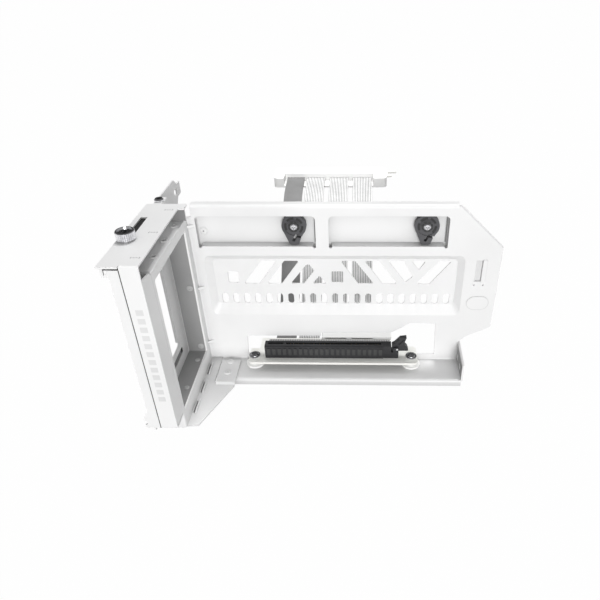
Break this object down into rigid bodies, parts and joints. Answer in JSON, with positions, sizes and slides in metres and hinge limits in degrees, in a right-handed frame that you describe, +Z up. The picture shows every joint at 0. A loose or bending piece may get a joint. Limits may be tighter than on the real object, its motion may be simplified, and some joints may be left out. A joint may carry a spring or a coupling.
{
  "type": "vertical gpu mount",
  "caption": "sheet-metal mount that holds a graphics card upright in a case: card window, vented tall plate, sliding slot bracket, riser connector on a shelf and flat ribbon lead",
  "frame": {"origin": "on the outer face of the slot bracket's wall, 8 mm in front of the tall plate and 70 mm above the shelf, where the wall lies against the case", "axes": "+Z up, +X away from the case's slot wall along the tall plate, +Y from the plate towards the main board side"},
  "size_m": [0.2347, 0.2569, 0.142],
  "materials": {
    "white_sheet": "satin",
    "plated_steel": "satin",
    "chrome_screws": "polished",
    "dark_plastic": "matte",
    "black_plastic": "matte",
    "contact_metal": "polished",
    "white_plastic": "matte",
    "ribbon_jacket": "matte"
  },
  "bodies": {
    "case_bracket": {"slot_bracket": "white_sheet", "rear_screw": "chrome_screws", "glide_pad": "black_plastic"},
    "thumb_screw_turning": {"thumb_knob": "chrome_screws", "thumb_stem": "chrome_screws"},
    "clip_left_turning": {"clip_left": "dark_plastic"},
    "clip_right_turning": {"clip_right": "dark_plastic"},
    "latch_turning": {"latch_lever": "black_plastic"},
    "sliding_frame": {"board_screw_left": "chrome_screws", "board_screw_right": "chrome_screws", "card_frame": "white_sheet", "clip_screw_left": "chrome_screws", "clip_screw_right": "chrome_screws", "clip_spacer_left": "dark_plastic", "clip_spacer_right": "dark_plastic", "contact_row_front": "contact_metal", "contact_row_rear": "contact_metal", "cover_bracket": "white_sheet", "latch_pin": "plated_steel", "liner_rivet_front": "plated_steel", "liner_rivet_rear": "plated_steel", "liner_wall_rivet_high": "plated_steel", "liner_wall_rivet_low": "plated_steel", "main_plate": "white_sheet", "plug_board": "contact_metal", "plug_hook": "white_plastic", "plug_housing": "white_plastic", "ribbon_1": "ribbon_jacket", "ribbon_2": "ribbon_jacket", "ribbon_3": "ribbon_jacket", "ribbon_4": "ribbon_jacket", "riser_board": "white_plastic", "slot_connector": "black_plastic", "standoff_left": "plated_steel", "standoff_right": "plated_steel", "tab_rivet_front": "plated_steel", "tab_rivet_rear": "plated_steel", "tunnel_liner": "white_sheet", "window_rivet": "plated_steel"}
  },
  "joints": [
    {"name": "frame_slide", "type": "slide", "parent": "case_bracket", "child": "sliding_frame", "axis": [0, -1, 0], "range_m": [0, 0.028]},
    {"name": "thumb_screw_turn", "type": "hinge", "parent": "case_bracket", "child": "thumb_screw_turning", "pos_m": [-0.0012, -0.048, 0.061], "axis": [0, 0, 1], "continuous": true},
    {"name": "clip_left_turn", "type": "hinge", "parent": "sliding_frame", "child": "clip_left_turning", "pos_m": [0.0866, 0.01, 0.0415], "axis": [0, 1, 0], "range_deg": [-90, 90]},
    {"name": "clip_right_turn", "type": "hinge", "parent": "sliding_frame", "child": "clip_right_turning", "pos_m": [0.1758, 0.01, 0.0415], "axis": [0, 1, 0], "range_deg": [-90, 90]},
    {"name": "latch_turn", "type": "hinge", "parent": "sliding_frame", "child": "latch_turning", "pos_m": [0.1593, 0.0025, -0.0544], "axis": [0, 1, 0], "range_deg": [0, 20]}
  ]
}
